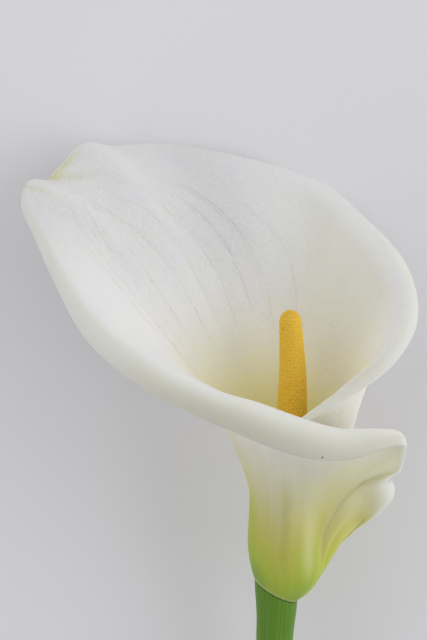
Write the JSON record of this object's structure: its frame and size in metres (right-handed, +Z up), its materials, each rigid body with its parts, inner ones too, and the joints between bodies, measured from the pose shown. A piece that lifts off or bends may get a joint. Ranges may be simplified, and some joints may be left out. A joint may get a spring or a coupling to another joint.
{
  "type": "calla lily flower",
  "caption": "Cut calla lily bloom lying on its side: a white funnel-shaped spathe with a rolled rim round a yellow spadix, on a length of green stem.",
  "frame": {"origin": "on the resting surface, under the middle of the lying flower's bounding box", "axes": "+Z up from the resting surface, +Y along the flower from the cut end of the stem to the mouth of the bloom, +X to the right seen from above with the bloom's end away from the viewer"},
  "size_m": [0.1298, 0.2852, 0.0938],
  "materials": {
    "spathe_white": "waxy plant skin, satin, white turning yellow-green round the tube",
    "stem_green": "smooth waxy green skin, satin",
    "ovary_green": "small smooth pale green ovaries, satin",
    "pollen_yellow": "grainy golden anthers, matt"
  },
  "bodies": {
    "root": {"spathe": "spathe_white", "stem": "stem_green", "spadix_female_zone": "ovary_green", "spadix_male_zone": "pollen_yellow"}
  },
  "joints": []
}
